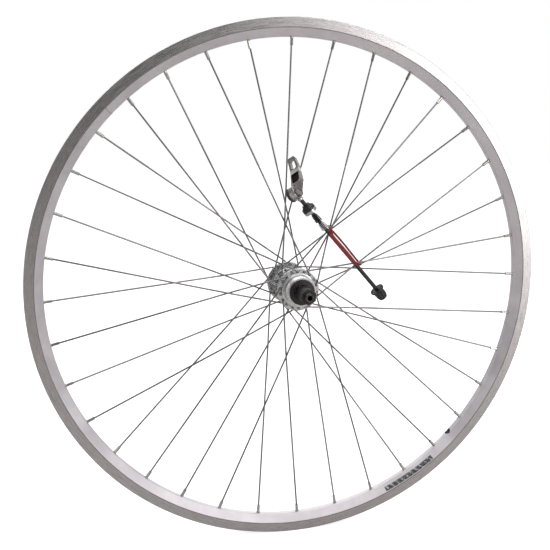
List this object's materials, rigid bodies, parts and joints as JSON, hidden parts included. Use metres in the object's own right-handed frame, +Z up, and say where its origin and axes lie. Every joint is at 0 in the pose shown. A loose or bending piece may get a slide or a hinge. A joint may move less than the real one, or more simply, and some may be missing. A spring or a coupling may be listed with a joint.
{
  "type": "bicycle rear wheel",
  "caption": "Spoked bicycle rear wheel with a threaded hub and a quick-release skewer held to its spokes by a red rubber band.",
  "frame": {"origin": "middle of the axle, halfway between the locknut faces, at the wheel's centre", "axes": "+Y along the axle from the drive side to the left side, +Z up, +X to the right seen from the drive side"},
  "size_m": [0.6336, 0.141, 0.6336],
  "materials": {
    "rim_alloy": "extruded and anodised, with machined brake tracks",
    "hub_alloy": "polished, a little dull with age",
    "lever_alloy": "forged and polished, dull in its hollows",
    "black_alloy": "black anodised, satin",
    "black_steel": "black oxide, slightly worn",
    "black_plastic": "moulded, satin",
    "axle_steel": "turned, lightly oiled",
    "bearing_steel": "hardened and ground",
    "ball_steel": "polished balls",
    "spoke_steel": "drawn stainless wire",
    "spring_steel": "bright zinc plate",
    "nipple_plate": "nickel plate",
    "tape_rubber": "matt black strip",
    "nylon": "natural nylon",
    "band_rubber": "red, slightly translucent"
  },
  "bodies": {
    "axle_set": {"axle": "axle_steel", "cone_drive": "bearing_steel", "cone_left": "bearing_steel", "lock_washer_drive": "axle_steel", "lock_washer_left": "axle_steel", "spacer_drive": "black_alloy", "spacer_left": "axle_steel", "locknut_drive": "black_steel", "locknut_left": "black_steel"},
    "wheel": {"rim": "rim_alloy", "rim_tape": "tape_rubber", "rim_joint_sleeve": "rim_alloy", "spokes_drive_outer": "spoke_steel", "spokes_drive_inner": "spoke_steel", "spokes_left_outer": "spoke_steel", "spokes_left_inner": "spoke_steel", "nipples_drive": "nipple_plate", "nipples_left": "nipple_plate", "hub_flange_drive": "hub_alloy", "hub_barrel": "hub_alloy", "hub_flange_left": "hub_alloy", "bearing_cup_drive": "bearing_steel", "bearing_cup_left": "bearing_steel", "dust_cap_drive": "black_steel", "dust_cap_left": "black_steel", "skewer_rod": "black_steel", "spring_black": "black_steel", "spring_steel": "spring_steel", "rubber_band": "band_rubber"},
    "balls_drive": {"balls_drive": "ball_steel"},
    "balls_left": {"balls_left": "ball_steel"},
    "skewer_head": {"skewer_head": "lever_alloy", "head_cap_ring": "black_plastic"},
    "cam_lever": {"qr_lever": "lever_alloy", "cam_shaft": "axle_steel", "cam_end_cap": "lever_alloy"},
    "cup_washer": {"cup_washer": "black_alloy", "serrated_ring": "spring_steel"},
    "nut_carrier": {"nylon_insert": "nylon"},
    "nut": {"adjusting_nut": "black_alloy"}
  },
  "joints": [
    {"name": "wheel_spin", "type": "hinge", "parent": "axle_set", "child": "wheel", "pos_m": [0, 0, 0], "axis": [0, 1, 0], "continuous": true},
    {"name": "balls_drive_orbit", "type": "hinge", "parent": "axle_set", "child": "balls_drive", "pos_m": [0, -0.0295, 0], "axis": [0, 1, 0], "continuous": true},
    {"name": "balls_left_orbit", "type": "hinge", "parent": "axle_set", "child": "balls_left", "pos_m": [0, 0.0405, 0], "axis": [0, 1, 0], "continuous": true},
    {"name": "cam_draw", "type": "slide", "parent": "wheel", "child": "skewer_head", "axis": [0.6617, 0.0541, -0.7479], "range_m": [-0.00032, 0.00009]},
    {"name": "lever_throw", "type": "hinge", "parent": "skewer_head", "child": "cam_lever", "pos_m": [-0.0061, -0.025, 0.1167], "axis": [0.6234, -0.594, 0.5086], "range_deg": [-31, 8]},
    {"name": "washer_slide", "type": "slide", "parent": "wheel", "child": "cup_washer", "axis": [0.6617, 0.0541, -0.7479], "range_m": [-0.006, 0.0035]},
    {"name": "nut_travel", "type": "slide", "parent": "wheel", "child": "nut_carrier", "axis": [0.6617, 0.0541, -0.7479], "range_m": [-0.008, 0.004]},
    {"name": "nut_turn", "type": "hinge", "parent": "nut_carrier", "child": "nut", "pos_m": [0.10572, -0.01586, -0.00969], "axis": [0.6617, 0.0541, -0.7479], "range_deg": [-3600, 1800]}
  ],
  "couplings": [
    {"joint": "balls_drive_orbit", "follows": "wheel_spin", "ratio": 0.616},
    {"joint": "balls_left_orbit", "follows": "wheel_spin", "ratio": 0.616},
    {"joint": "cam_draw", "follows": "lever_throw", "m_per_rad": 0.000573},
    {"joint": "nut_travel", "follows": "nut_turn", "m_per_rad": 0.00012732}
  ]
}
